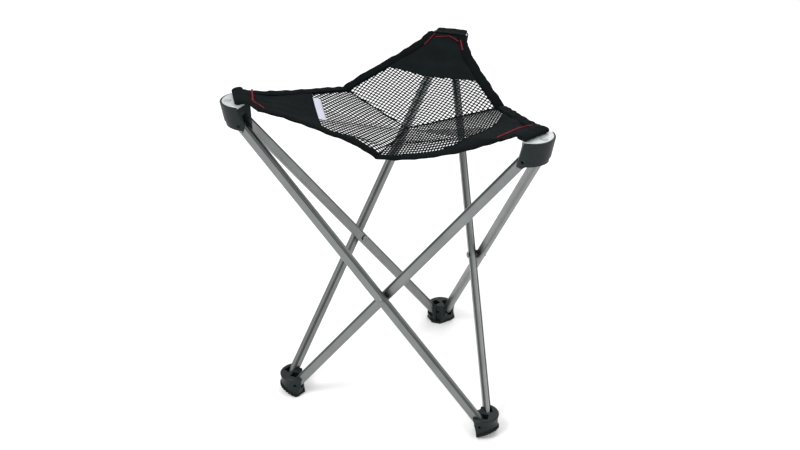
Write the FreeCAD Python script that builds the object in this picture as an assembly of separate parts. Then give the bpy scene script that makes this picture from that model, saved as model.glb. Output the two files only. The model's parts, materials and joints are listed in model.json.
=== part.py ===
import FreeCAD, Part
import math
import os

# Folding three-legged camp stool, in millimetres. Six legs cross in pairs in three faces. Each
# leg is hinged in a plastic head at the top and in a plastic foot at the bottom, and a fabric
# seat is slung between the three heads. The stool has three-fold symmetry about a vertical
# axis, so each piece is made once and turned twice by 120 degrees. Corners are left, right and
# back. The floor is z = 0.

Vector = FreeCAD.Vector

# Stance of the linkage
HINGE_RISE = 394.0
HINGE_RUN = 303.4
CROSSING_SHARE = 0.5674
CORNER_SETBACK = 11.0
FOOT_HINGE_HEIGHT = 18.5
AXIS_SETBACK = 49.0
LEG_SPACING = 12.4

# Leg tube
LEG_WIDTH = 13.2
LEG_THICKNESS = 9.8
LEG_CORNER = 3.6
LEG_WALL = 1.2
LEG_END_RADIUS = 9.0

# Hinge pins and crossing rivets
PIN_RADIUS = 1.9
PIN_RUNNING_GAP = 0.06
PIN_HALF_LENGTH = 7.4
RIVET_RADIUS = 2.0
RIVET_LOOSE_GAP = 0.4
RIVET_HEAD_RADIUS = 4.6
RIVET_HEAD_HEIGHT = 1.8
RIVET_HEAD_GAP = 0.9
SPACER_RADIUS = 5.6
SPACER_THICKNESS = 1.3

# Forks that the legs sit in, the same at heads and feet
SLOT_WIDTH = 10.4
SLOT_REACH = 9.4
FORK_NEAR_LENGTH = 8.0
FORK_FAR_LENGTH = 12.0
FORK_HALF_WIDTH = 8.0
FACET_LEAN_DEG = 12.0
FACET_PIVOT_HEIGHT = -4.0

# Head: a tapered drum with a recessed cap
HEAD_CENTRE = (-1.5, 2.0)
HEAD_TOP = 26.0
HEAD_BOTTOM = -8.8
HEAD_STEP_HEIGHT = 2.0
HEAD_TOP_RADIUS = 26.4
HEAD_STEP_RADIUS = 22.6
HEAD_SKIRT_RADIUS = 21.3
HEAD_BOTTOM_RADIUS = 19.6
HEAD_NOSE = -11.0
HEAD_SLOT_TOP = 14.0
HEAD_EDGE = 0.8
BOTTOM_SLANT_START = 2.0
BOTTOM_SLANT_DEG = 9.0
LUG_DROP = 2.6
TOP_SLANT_DEG = 17.0
TOP_SLANT_START = -4.0
CAP_CENTRE = (-2.5, 2.0)
CAP_RADIUS = 25.0
CAP_DEPTH = 2.4
CAP_PROUD = 0.3
CAP_EDGE = 0.6
CAP_INNER_CHORD = -3.5
CAP_SCREW_PLACE = (15.8, 2.0)
CAP_SCREW_HEAD_RADIUS = 4.8
CAP_SCREW_HEAD_HEIGHT = 1.7
CAP_SCREW_RADIUS = 2.0
CAP_SCREW_LENGTH = 14.0

# Foot: the same fork upside down on a rubber sole, which rises outward from a flat strip
FOOT_CENTRE = (-1.0, -6.5)
FOOT_TOP = 11.0
FOOT_TOP_RADIUS = 20.8
FOOT_WAIST_RADIUS = 19.6
FOOT_BASE_RADIUS = 20.6
FOOT_WAIST_HEIGHT = 2.0
FOOT_RIM_ROUNDING = 1.6
FOOT_NOSE = -8.4
RIB_RADIUS = 3.1
RIB_PLACES = ((-8.4, 0.8), (-8.4, -10.6))
SOLE_RADIUS = 21.6
SOLE_THICKNESS = 3.6
SOLE_SLANT_START = 2.0
SOLE_SLANT_DEG = 28.0
SOLE_TOP = 0.0
SOLE_INNER_REACH = 0.6
TOOTH_RADIUS = 1.3
TOOTH_PITCH = 4.6

# Seat, a cone over the outline with its apex at the centre
SEAT_CENTRE_RISE = 363.8
SEAT_EDGE_APOTHEM = 126.0
SEAT_EDGE_INSET = 6.5
INSET_START = 45.0
INSET_END = 160.0
SEAT_EDGE_RISE = 383.5
SEAT_EDGE_SLOPE = 0.27
SEAT_EDGE_ROUNDING = 12.0
SEAT_END_REACH = 185.0
SEAT_THICKNESS = 2.0
NET_REACH = 106.0
BINDING_SHARE = 0.9
EDGE_STEPS = 6
HINGE_LINE_GAP = 1.2

# Seat loops on the heads
BAR_PLACE = (1.5, 29.6)
BAR_WIDTH = 11.0
BAR_THICKNESS = 3.0
BAR_ENDS = (-18.0, 17.0)
LOOP_WIDTH = 14.0
LOOP_THICKNESS = 6.0
LOOP_GAP = 0.2
LOOP_ENDS = (-21.0, 20.0)
LOOP_TAIL_THICKNESS = 2.4
BAR_SCREW_RADIUS = 1.6
BAR_SCREW_OFFSETS = (-12.0, 11.0)
BAR_SCREW_DEPTH = 10.0

CORNERS = ("left", "right", "back")
FACES = ("front", "right_side", "left_side")
OUTER_LEGS = ("leg_left_to_right", "leg_right_to_back", "leg_back_to_left")
INNER_LEGS = ("leg_right_to_left", "leg_back_to_right", "leg_left_to_back")
FAR = 200.0

UP = Vector(0, 0, 1)
ROOT3 = math.sqrt(3.0)

head_half_width = HINGE_RUN * CROSSING_SHARE
foot_half_width = HINGE_RUN - head_half_width
head_apothem = head_half_width / ROOT3 + CORNER_SETBACK
foot_apothem = foot_half_width / ROOT3 + CORNER_SETBACK
head_reach = head_apothem / 2 + head_half_width * ROOT3 / 2
foot_reach = foot_apothem / 2 + foot_half_width * ROOT3 / 2
head_height = FOOT_HINGE_HEIGHT + HINGE_RISE


def turned(shape, degrees):
    """The shape turned about the stool's axis."""
    copy = shape.copy()
    copy.rotate(Vector(0, 0, 0), UP, degrees)
    return copy


def save(shape, node):
    """Checks one node's shape and writes it, moved so that the origin is under its middle."""
    moved = shape.copy()
    moved.translate(Vector(0, -AXIS_SETBACK, 0))
    clean = Part.Compound(moved.Solids)
    if not clean.isValid() or not moved.Solids:
        print("PROBLEM with", node)
    clean.exportStep("parts/" + node + ".step")
    print(node, "solids", len(moved.Solids), "volume", round(clean.Volume, 1))


def save_three(shape, names):
    for index, node in enumerate(names):
        save(turned(shape, 120.0 * index), node)


def corner_placement(reach, height):
    """From a corner's own frame, x outward and y anticlockwise, to the left corner."""
    turn = FreeCAD.Rotation(UP, 210.0)
    place = turn.multVec(Vector(reach, 0, 0))
    return FreeCAD.Placement(Vector(place.x, place.y, height), turn)


def prism(points, low, high):
    """A vertical prism over a plan outline given as (x, y) points."""
    corners = [Vector(x, y, low) for x, y in points]
    wire = Part.makePolygon(corners + corners[:1])
    return Part.Face(wire).extrude(Vector(0, 0, high - low))


def turned_profile(profile, centre):
    """A solid of revolution about a vertical line from (radius, height) points."""
    low, high = profile[0][1], profile[-1][1]
    points = [(0.0, low)] + list(profile) + [(0.0, high)]
    corners = [Vector(radius, 0, height) for radius, height in points]
    wire = Part.makePolygon(corners + corners[:1])
    solid = Part.Face(wire).revolve(Vector(0, 0, 0), UP, 360)
    solid.translate(Vector(centre[0], centre[1], 0))
    return solid


def rod(start, end, radius):
    return Part.makeCylinder(radius, (end - start).Length, start, end - start)


# ---- Linkage points, in the frame of the stool's axis ----

def front_hinge(side, half_width, apothem, height, outward):
    """A hinge centre in the front face, side -1 at the left corner and 1 at the right one."""
    return Vector(side * half_width, -apothem - outward * LEG_SPACING / 2, height)


outer_top = front_hinge(-1, head_half_width, head_apothem, head_height, 1)
outer_bottom = front_hinge(1, foot_half_width, foot_apothem, FOOT_HINGE_HEIGHT, 1)
inner_top = front_hinge(1, head_half_width, head_apothem, head_height, -1)
inner_bottom = front_hinge(-1, foot_half_width, foot_apothem, FOOT_HINGE_HEIGHT, -1)


def flat(vector):
    """The horizontal direction of a vector."""
    level = Vector(vector.x, vector.y, 0)
    return level.normalize()


outer_run = flat(outer_bottom - outer_top)
inner_run = flat(inner_bottom - inner_top)
outer_normal = outer_run.cross(UP)
inner_normal = UP.cross(inner_run)
leg_turn = math.acos(outer_normal.dot(Vector(0, -1, 0)))
crossing_offset = LEG_SPACING / 2 / math.cos(leg_turn)
outer_crossing = outer_top + (outer_bottom - outer_top) * CROSSING_SHARE
inner_crossing = inner_top + (inner_bottom - inner_top) * CROSSING_SHARE
crossing = outer_crossing - outer_normal * crossing_offset


# ---- Legs ----

def rounded_section(width, thickness, corner):
    """A rounded rectangle in the XY plane, width along X."""
    plate = Part.makeBox(width, thickness, 1.0, Vector(-width / 2, -thickness / 2, 0))
    uprights = [e for e in plate.Edges if abs(e.BoundBox.ZLength - 1.0) < 1e-6]
    rounded = plate.makeFillet(corner, uprights)
    bottom = min(rounded.Faces, key=lambda face: face.CenterOfMass.z)
    return bottom


def make_leg(bottom, top, normal, hole_radius_at_crossing):
    """A rounded tube from past the lower hinge to past the upper one, drilled for its pins."""
    along = (top - bottom).normalize()
    length = (top - bottom).Length
    sideways = normal.cross(along)
    frame = FreeCAD.Rotation(sideways, normal, along, "ZXY")
    full = length + 2 * LEG_END_RADIUS
    outside = rounded_section(LEG_WIDTH, LEG_THICKNESS, LEG_CORNER)
    inside = rounded_section(
        LEG_WIDTH - 2 * LEG_WALL, LEG_THICKNESS - 2 * LEG_WALL, LEG_CORNER - LEG_WALL
    )
    tube = outside.extrude(Vector(0, 0, full)).cut(inside.extrude(Vector(0, 0, full)))
    tube.translate(Vector(0, 0, -LEG_END_RADIUS))
    reach = LEG_THICKNESS
    middle = Part.makeBox(
        2 * LEG_WIDTH, 2 * reach, length, Vector(-LEG_WIDTH, -reach, 0)
    )
    across = Vector(0, 1, 0)
    ends = [
        Part.makeCylinder(LEG_END_RADIUS, 2 * reach, Vector(0, -reach, height), across)
        for height in (0, length)
    ]
    tube = tube.common(middle.fuse(ends))
    pin_hole = PIN_RADIUS + PIN_RUNNING_GAP
    for height in (0, length):
        tube = tube.cut(
            Part.makeCylinder(pin_hole, 2 * reach, Vector(0, -reach, height), across)
        )
    tube.Placement = FreeCAD.Placement(bottom, frame)
    drill = rod(
        crossing + Vector(0, -3 * LEG_SPACING, 0),
        crossing + Vector(0, 3 * LEG_SPACING, 0),
        hole_radius_at_crossing,
    )
    return tube.cut(drill)


outer_leg = make_leg(outer_bottom, outer_top, outer_normal, RIVET_RADIUS)
inner_leg = make_leg(
    inner_bottom, inner_top, inner_normal, RIVET_RADIUS + RIVET_LOOSE_GAP
)
save_three(outer_leg, OUTER_LEGS)
save_three(inner_leg, INNER_LEGS)


# ---- Crossing rivet and spacer in the front face ----

front = Vector(0, -1, 0)
face_tilt_room = RIVET_HEAD_RADIUS * math.tan(leg_turn)
outer_face = LEG_SPACING / 2 + LEG_THICKNESS / 2 / math.cos(leg_turn) + face_tilt_room
rivet_front = crossing + front * outer_face
rivet_back = crossing - front * (outer_face + RIVET_HEAD_GAP)
rivet = rod(rivet_back, rivet_front, RIVET_RADIUS)
for seat_point, direction in ((rivet_front, front), (rivet_back, front * -1)):
    dome_radius = (RIVET_HEAD_RADIUS**2 + RIVET_HEAD_HEIGHT**2) / 2 / RIVET_HEAD_HEIGHT
    dome_centre = seat_point + direction * (RIVET_HEAD_HEIGHT - dome_radius)
    dome = Part.makeSphere(dome_radius, dome_centre)
    plug = rod(
        seat_point, seat_point + direction * (2 * RIVET_HEAD_HEIGHT), RIVET_HEAD_RADIUS
    )
    rivet = rivet.fuse(dome.common(plug))
save_three(rivet.removeSplitter(), ["crossing_rivet_" + face for face in FACES])

spacer_start = outer_crossing - outer_normal * (LEG_THICKNESS / 2)
spacer_end = spacer_start - outer_normal * SPACER_THICKNESS
spacer = rod(spacer_start, spacer_end, SPACER_RADIUS)
spacer = spacer.cut(
    rod(crossing + front * FAR, crossing - front * FAR, RIVET_RADIUS + PIN_RUNNING_GAP)
)
save_three(spacer, ["crossing_spacer_" + face for face in FACES])


# ---- Forks, in a corner's own frame ----

def corner_view(point, reach, corner_angle):
    """A point of the linkage in a corner's own plan frame, as (outward, anticlockwise)."""
    local = FreeCAD.Rotation(UP, -corner_angle).multVec(Vector(point.x, point.y, 0))
    return Vector(local.x - reach, local.y, 0)


def corner_direction(direction, corner_angle):
    return FreeCAD.Rotation(UP, -corner_angle).multVec(direction)


head_legs = (
    (corner_view(outer_top, head_reach, 210), corner_direction(outer_run, 210), 1),
    (corner_view(inner_top, head_reach, 330), corner_direction(inner_run, 330), -1),
)
foot_legs = (
    (
        corner_view(outer_bottom, foot_reach, 330),
        corner_direction(outer_run * -1, 330),
        -1,
    ),
    (
        corner_view(inner_bottom, foot_reach, 210),
        corner_direction(inner_run * -1, 210),
        1,
    ),
)


def facet(hinge, run, side, growth=0.0):
    """The upright facet in front of one slot: a point of it, its direction and its inner side."""
    outward = UP.cross(run) * -side
    near = hinge + run * (FORK_NEAR_LENGTH + growth) + outward * FORK_HALF_WIDTH
    far = hinge + run * (FORK_FAR_LENGTH + growth) - outward * FORK_HALF_WIDTH
    along = (far - near).normalize()
    away = along.cross(UP)
    if away.dot(run) < 0:
        away = away * -1
    return near, along, away


def trim_inner_side(body, legs, nose, lean, growth=0.0):
    """Cuts the inner side of a block to two facets, that lean back, and a blunt nose."""
    for hinge, run, side in legs:
        near, along, away = facet(hinge, run, side, growth)
        start = near - along * FAR
        end = near + along * FAR
        outline = [start, end, end + away * FAR, start + away * FAR]
        room = prism([(p.x, p.y) for p in outline], -FAR, FAR)
        pivot = Vector(near.x, near.y, math.copysign(FACET_PIVOT_HEIGHT, -lean))
        room.rotate(pivot, away.cross(UP), lean)
        body = body.cut(room)
    blunt = nose - growth
    beyond = [(blunt, -FAR), (blunt, FAR), (blunt - FAR, FAR), (blunt - FAR, -FAR)]
    return body.cut(prism(beyond, -FAR, FAR))


def slot(hinge, run, low, high):
    """The room for one leg: a round end about the hinge, and a way out on the inner side."""
    across = UP.cross(run) * (SLOT_WIDTH / 2)
    start = hinge - run * SLOT_REACH
    end = hinge + run * FAR
    outline = [start + across, end + across, end - across, start - across]
    way_out = prism([(p.x, p.y) for p in outline], low, high)
    return way_out.fuse(rod(hinge - across, hinge + across, SLOT_REACH))


def slant(start, height, degrees):
    """All the space below a plane that rises outward from a line across the corner."""
    space = Part.makeBox(2 * FAR, 2 * FAR, FAR, Vector(-FAR, -FAR, -FAR))
    space.rotate(Vector(0, 0, 0), Vector(0, 1, 0), -degrees)
    space.translate(Vector(start, 0, height))
    return space


def pin_rod(hinge, run, half_length, radius):
    across = UP.cross(run)
    return rod(hinge - across * half_length, hinge + across * half_length, radius)


# ---- Heads ----

head_profile = [
    (HEAD_BOTTOM_RADIUS, HEAD_BOTTOM),
    (HEAD_SKIRT_RADIUS, HEAD_STEP_HEIGHT),
    (HEAD_STEP_RADIUS, HEAD_STEP_HEIGHT + HEAD_EDGE),
    (HEAD_TOP_RADIUS, HEAD_TOP - HEAD_EDGE),
    (HEAD_TOP_RADIUS - HEAD_EDGE / 2, HEAD_TOP),
]
head = turned_profile(head_profile, HEAD_CENTRE)
head = trim_inner_side(head, head_legs, HEAD_NOSE, FACET_LEAN_DEG)
outer_side = Part.makeBox(FAR, 2 * FAR, 2 * FAR, Vector(BOTTOM_SLANT_START, -FAR, -FAR))
underside = slant(BOTTOM_SLANT_START, HEAD_BOTTOM + LUG_DROP, BOTTOM_SLANT_DEG)
head = head.cut(underside.common(outer_side))
top_room = Part.makeBox(FAR, 2 * FAR, FAR, Vector(-FAR, -FAR, 0))
top_room.rotate(Vector(0, 0, 0), Vector(0, 1, 0), -TOP_SLANT_DEG)
top_room.translate(Vector(TOP_SLANT_START, 0, HEAD_TOP))
head = head.cut(top_room)

cap_disc = turned_profile(
    [
        (CAP_RADIUS, HEAD_TOP - CAP_DEPTH),
        (CAP_RADIUS, HEAD_TOP + CAP_PROUD - CAP_EDGE),
        (CAP_RADIUS - CAP_EDGE, HEAD_TOP + CAP_PROUD),
    ],
    CAP_CENTRE,
)
cap_side = Part.makeBox(FAR, 2 * FAR, 2 * FAR, Vector(CAP_INNER_CHORD, -FAR, -FAR))
cap = trim_inner_side(cap_disc.common(cap_side), head_legs, HEAD_NOSE, FACET_LEAN_DEG)
recess = turned_profile(
    [(CAP_RADIUS, HEAD_TOP - CAP_DEPTH), (CAP_RADIUS, HEAD_TOP + CAP_DEPTH)],
    CAP_CENTRE,
)
head = head.cut(recess.common(cap_side))

for hinge, run, side in head_legs:
    head = head.cut(slot(hinge, run, -FAR, HEAD_SLOT_TOP))
    head = head.cut(pin_rod(hinge, run, FORK_HALF_WIDTH * 2, PIN_RADIUS))

screw_top = HEAD_TOP + CAP_PROUD
screw_foot = Vector(CAP_SCREW_PLACE[0], CAP_SCREW_PLACE[1], screw_top - CAP_SCREW_LENGTH)
screw_seat = Vector(CAP_SCREW_PLACE[0], CAP_SCREW_PLACE[1], screw_top)
cap_screw = rod(screw_foot, screw_seat, CAP_SCREW_RADIUS)
screw_dome_radius = (
    (CAP_SCREW_HEAD_RADIUS**2 + CAP_SCREW_HEAD_HEIGHT**2) / 2 / CAP_SCREW_HEAD_HEIGHT
)
screw_dome = Part.makeSphere(
    screw_dome_radius, screw_seat + UP * (CAP_SCREW_HEAD_HEIGHT - screw_dome_radius)
)
screw_cover = rod(
    screw_seat, screw_seat + UP * (2 * CAP_SCREW_HEAD_HEIGHT), CAP_SCREW_HEAD_RADIUS
)
cap_screw = cap_screw.fuse(screw_dome.common(screw_cover))
head = head.cut(rod(screw_foot, screw_seat + UP, CAP_SCREW_RADIUS))
cap = cap.cut(rod(screw_foot, screw_seat + UP, CAP_SCREW_RADIUS))

bar_centre = Vector(BAR_PLACE[0], 0, BAR_PLACE[1])


def stadium(width, thickness, ends):
    """A bar across the corner with rounded inner and outer sides, about the bar's centre."""
    half = (width - thickness) / 2
    bar = Part.makeBox(
        2 * half, ends[1] - ends[0], thickness, Vector(-half, ends[0], -thickness / 2)
    )
    for side in (-half, half):
        start = Vector(side, ends[0], 0)
        bar = bar.fuse(rod(start, start + Vector(0, ends[1] - ends[0], 0), thickness / 2))
    bar.translate(bar_centre)
    return bar.removeSplitter()


seat_bar = stadium(BAR_WIDTH, BAR_THICKNESS, BAR_ENDS)
bar_screws = []
for offset in BAR_SCREW_OFFSETS:
    top = bar_centre + Vector(0, offset, 0)
    bottom = Vector(top.x, top.y, HEAD_TOP - BAR_SCREW_DEPTH)
    bar_screws.append(rod(bottom, top, BAR_SCREW_RADIUS))
for screw in bar_screws:
    seat_bar = seat_bar.cut(screw)
    head = head.cut(screw)
    cap = cap.cut(screw)

# ---- Seat outline ----

def edge_point(along):
    """A point of the seat's outer edge beside the left corner, in that corner's plan frame.

    along is the distance from the middle of the side, and the point is on the anticlockwise
    side of the corner.
    """
    share = min(max((along - INSET_START) / (INSET_END - INSET_START), 0.0), 1.0)
    apothem = SEAT_EDGE_APOTHEM - SEAT_EDGE_INSET * math.sin(math.pi * share) ** 2
    rise = SEAT_EDGE_SLOPE * (
        math.hypot(along, SEAT_EDGE_ROUNDING) - SEAT_EDGE_ROUNDING
    )
    return Vector(
        apothem / 2 + along * ROOT3 / 2,
        apothem * ROOT3 / 2 - along / 2,
        FOOT_HINGE_HEIGHT + SEAT_EDGE_RISE + rise,
    )


def edge_end():
    """The distance along the edge at which it meets the end of the panel."""
    low, high = 0.0, INSET_END
    while high - low > 1e-6:
        middle = (low + high) / 2
        if edge_point(middle).x < SEAT_END_REACH:
            low = middle
        else:
            high = middle
    return low


last = edge_end()
edge = [edge_point(last * step / EDGE_STEPS) for step in range(EDGE_STEPS + 1)]
outline = [Vector(p.x, -p.y, p.z) for p in edge] + edge[::-1]
apex = Vector(0, 0, FOOT_HINGE_HEIGHT + SEAT_CENTRE_RISE)

# The seat's loop goes round the bar, and its tail ends at the line where the seat bends.
tail = Vector(
    SEAT_END_REACH + HINGE_LINE_GAP - head_reach, 0, edge[-1].z - head_height
)
loop_inner = bar_centre.x - LOOP_WIDTH / 2 + LOOP_THICKNESS / 2
tail_outline = [
    tail + UP * (LOOP_TAIL_THICKNESS / 2),
    Vector(loop_inner, 0, bar_centre.z + LOOP_THICKNESS / 2),
    Vector(loop_inner, 0, bar_centre.z - LOOP_THICKNESS / 2),
    tail - UP * (LOOP_TAIL_THICKNESS / 2),
]
tail_wire = Part.makePolygon(tail_outline + tail_outline[:1])
tail_solid = Part.Face(tail_wire).extrude(Vector(0, LOOP_ENDS[1] - LOOP_ENDS[0], 0))
tail_solid.translate(Vector(0, LOOP_ENDS[0], 0))
loop = stadium(LOOP_WIDTH, LOOP_THICKNESS, LOOP_ENDS).fuse(tail_solid)
loop = loop.cut(
    stadium(BAR_WIDTH + 2 * LOOP_GAP, BAR_THICKNESS + 2 * LOOP_GAP, (-FAR, FAR))
)
for screw in bar_screws:
    loop = loop.cut(screw)

head_pins = [pin_rod(hinge, run, PIN_HALF_LENGTH, PIN_RADIUS) for hinge, run, _ in head_legs]

head_place = corner_placement(head_reach, head_height)


def save_at_heads(shape, name):
    placed = shape.copy()
    placed.Placement = head_place.multiply(placed.Placement)
    save_three(placed, [name + "_" + corner for corner in CORNERS])


save_at_heads(head, "head")
save_at_heads(cap, "head_cap")
save_at_heads(cap_screw.removeSplitter(), "cap_screw")
save_at_heads(seat_bar, "seat_bar")
save_at_heads(Part.Compound(bar_screws), "seat_bar_screws")
save_at_heads(loop, "seat_loop")
save_at_heads(Part.Compound(head_pins), "head_pins")


# ---- Feet ----

sole_low = -FOOT_HINGE_HEIGHT
body_low = sole_low + SOLE_THICKNESS
slant_angle = math.radians(SOLE_SLANT_DEG)
slanted_thickness = SOLE_THICKNESS / math.cos(slant_angle)
flat_space = Part.makeBox(2 * FAR, 2 * FAR, FAR, Vector(-FAR, -FAR, body_low - FAR))
sole_space = slant(SOLE_SLANT_START, sole_low + slanted_thickness, SOLE_SLANT_DEG)
foot_profile = [
    (FOOT_BASE_RADIUS, sole_low),
    (FOOT_WAIST_RADIUS, FOOT_WAIST_HEIGHT),
    (FOOT_TOP_RADIUS, FOOT_TOP - FOOT_RIM_ROUNDING),
    (FOOT_TOP_RADIUS - FOOT_RIM_ROUNDING / 2, FOOT_TOP - FOOT_RIM_ROUNDING / 2),
    (FOOT_TOP_RADIUS - FOOT_RIM_ROUNDING, FOOT_TOP),
]
foot = turned_profile(foot_profile, FOOT_CENTRE)
foot = trim_inner_side(foot, foot_legs, FOOT_NOSE, -FACET_LEAN_DEG)
for place in RIB_PLACES:
    rib_foot = Vector(place[0], place[1], body_low)
    foot = foot.fuse(
        rod(rib_foot, Vector(place[0], place[1], FOOT_TOP - HEAD_EDGE), RIB_RADIUS)
    )
foot = foot.cut(flat_space.fuse(sole_space))
for hinge, run, side in foot_legs:
    foot = foot.cut(slot(hinge, run, 0.0, FAR))
    foot = foot.cut(pin_rod(hinge, run, FORK_HALF_WIDTH * 2, PIN_RADIUS))

sole_round = turned_profile([(SOLE_RADIUS, sole_low), (SOLE_RADIUS, SOLE_TOP)], FOOT_CENTRE)
sole_nose = FOOT_NOSE - RIB_RADIUS
sole = trim_inner_side(sole_round, foot_legs, sole_nose, -FACET_LEAN_DEG, SOLE_INNER_REACH)
sole = sole.cut(slant(SOLE_SLANT_START, sole_low, SOLE_SLANT_DEG))
sole = sole.common(flat_space.fuse(sole_space))


def teeth_along_sole():
    """Upright grooves round the sole's edge and along its two facets."""
    around = round(2 * math.pi * SOLE_RADIUS / TOOTH_PITCH)
    middle = Vector(FOOT_CENTRE[0], FOOT_CENTRE[1], 0)
    places = []
    for tooth in range(around):
        angle = 2 * math.pi * tooth / around
        places.append(middle + Vector(math.cos(angle), math.sin(angle), 0) * SOLE_RADIUS)
    for hinge, run, side in foot_legs:
        near, along, away = facet(hinge, run, side, SOLE_INNER_REACH)
        steps = int(2 * SOLE_RADIUS / TOOTH_PITCH)
        places += [near + along * (TOOTH_PITCH * (step - 1)) for step in range(steps)]
    grooves = []
    for place in places:
        low = Vector(place.x, place.y, sole_low - 1.0)
        grooves.append(Part.makeCylinder(TOOTH_RADIUS, FAR, low))
    return grooves


for groove in teeth_along_sole():
    sole = sole.cut(groove)

foot_pins = [pin_rod(hinge, run, PIN_HALF_LENGTH, PIN_RADIUS) for hinge, run, _ in foot_legs]

foot_place = corner_placement(foot_reach, FOOT_HINGE_HEIGHT)


def save_at_feet(shape, name):
    placed = shape.copy()
    placed.Placement = foot_place.multiply(placed.Placement)
    save_three(placed, [name + "_" + corner for corner in CORNERS])


save_at_feet(foot, "foot")
save_at_feet(sole, "sole")
save_at_feet(Part.Compound(foot_pins), "foot_pins")


# ---- Seat thirds ----

def wedge(first, second):
    """One flat piece of the cone, as thick as the seat."""
    half = Vector(0, 0, SEAT_THICKNESS / 2)
    wire = Part.makePolygon([apex - half, first - half, second - half, apex - half])
    return Part.Face(wire).extrude(half * 2)


seat_third = wedge(outline[0], outline[1])
for first, second in zip(outline[1:], outline[2:]):
    seat_third = seat_third.fuse(wedge(first, second))

inner_outline = [Vector(p.x * BINDING_SHARE, p.y * BINDING_SHARE, 0) for p in outline]
end_width = inner_outline[EDGE_STEPS].y
inner_cut = prism(
    [(0.0, 0.0)]
    + [(p.x, p.y) for p in inner_outline[: EDGE_STEPS + 1]]
    + [(FAR, end_width), (FAR, -end_width)]
    + [(p.x, p.y) for p in inner_outline[EDGE_STEPS + 1 :]],
    0,
    1000,
)
net_side = Part.makeBox(NET_REACH, 2 * FAR, 1000, Vector(0, -FAR, 0))
middle_part = seat_third.common(inner_cut)
seat_pieces = {
    "seat_net": middle_part.common(net_side),
    "seat_corner": middle_part.cut(net_side),
    "seat_binding": seat_third.cut(inner_cut),
}
for name, shape in seat_pieces.items():
    shape.rotate(Vector(0, 0, 0), UP, 210)
    save_three(shape, [name + "_" + corner for corner in CORNERS])
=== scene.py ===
"""The camp stool's visual model: CAD pieces with materials, and the sewn seat as mesh."""

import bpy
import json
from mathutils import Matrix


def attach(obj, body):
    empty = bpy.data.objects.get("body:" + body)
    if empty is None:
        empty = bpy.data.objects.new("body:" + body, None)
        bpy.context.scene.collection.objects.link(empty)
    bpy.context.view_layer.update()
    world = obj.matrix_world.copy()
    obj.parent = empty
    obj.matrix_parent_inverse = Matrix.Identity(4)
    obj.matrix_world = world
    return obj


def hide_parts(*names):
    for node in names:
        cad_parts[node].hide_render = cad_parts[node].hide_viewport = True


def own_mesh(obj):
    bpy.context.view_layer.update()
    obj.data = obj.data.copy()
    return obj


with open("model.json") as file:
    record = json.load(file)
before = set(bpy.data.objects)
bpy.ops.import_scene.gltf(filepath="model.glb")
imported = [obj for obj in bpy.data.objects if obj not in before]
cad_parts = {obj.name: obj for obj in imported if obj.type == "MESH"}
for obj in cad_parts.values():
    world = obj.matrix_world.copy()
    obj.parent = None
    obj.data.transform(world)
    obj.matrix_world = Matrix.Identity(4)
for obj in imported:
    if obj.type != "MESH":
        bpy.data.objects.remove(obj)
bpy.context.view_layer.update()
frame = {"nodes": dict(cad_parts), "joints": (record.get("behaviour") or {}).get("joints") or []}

import json
import math
import random

import bpy
import numpy as np
from mathutils import Quaternion, Vector

MM = 0.001
CORNERS = ("left", "right", "back")
FIRST_CORNER_DEGREES = 210.0
CORNER_STEP_DEGREES = 120.0
joints = {joint["name"]: joint for joint in frame["joints"]}
hinges = [Vector(joints[f"seat_{name}_swing"]["pos_m"]) for name in CORNERS]
axis = sum(hinges, Vector()) / 3
AXIS_XY = np.array([axis.x, axis.y]) / MM
FOOT_HINGE_HEIGHT = joints["fold"]["pos_m"][2] / MM

# Camera, about a point of the stool's axis; heights are above the feet's hinges, in mm.
VIEW_AZIMUTH = math.radians(17.09)
VIEW_ELEVATION = math.radians(29.39)
VIEW_ROLL = math.radians(0.24)
VIEW_TARGET_HEIGHT = 195.0
VIEW_DISTANCE = 1493.2
VIEW_LENS = 50.67
VIEW_SENSOR_WIDTH = 36.0
VIEW_SHIFT = (-0.0084, 0.0256)

# Seat outline, mm. Each corner has its own half widths and heights at the head, and its own
# way to flare and fall from there, (clockwise, anticlockwise) where they differ; each side
# has its own middle.
CENTRE_HEIGHT = 363.8
CENTRE_ROUNDING = 0.07
END_REACH = 188.0
END_HALF_WIDTH = ((31.1, 32.9), (36.4, 32.0), (26.2, 28.5))
END_FLARE = (1.34, 1.11, 1.34)
END_HEIGHT = ((417.3, 416.9), (419.3, 418.0), (425.3, 425.3))
END_FALL = ((0.86, 0.74), (1.80, 0.84), (0.78, 0.76))
SIDE_APOTHEM = (125.4, 126.3, 125.0)
SIDE_HEIGHT = (377.5, 381.7, 381.8)
OUTLINE_POINTS = 80
END_POINTS = 10
SIN_60 = math.sin(math.pi / 3)

# The creases that run inwards from the right and left heads near the front edge, mm, by
# corner: the two ends in the corner's plan, the height, and for both the half widths towards
# the centre and the front.
CREASE_ENDS = {1: ((140.0, -30.5), (38.0, -49.0)), 0: ((104.0, 70.5), (46.0, 80.0))}
CREASE_HEIGHT = {1: 3.8, 0: 2.8}
CREASE_HALF_WIDTHS = (6.0, 16.0)
CREASE_FADE_POWER = 0.8

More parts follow.
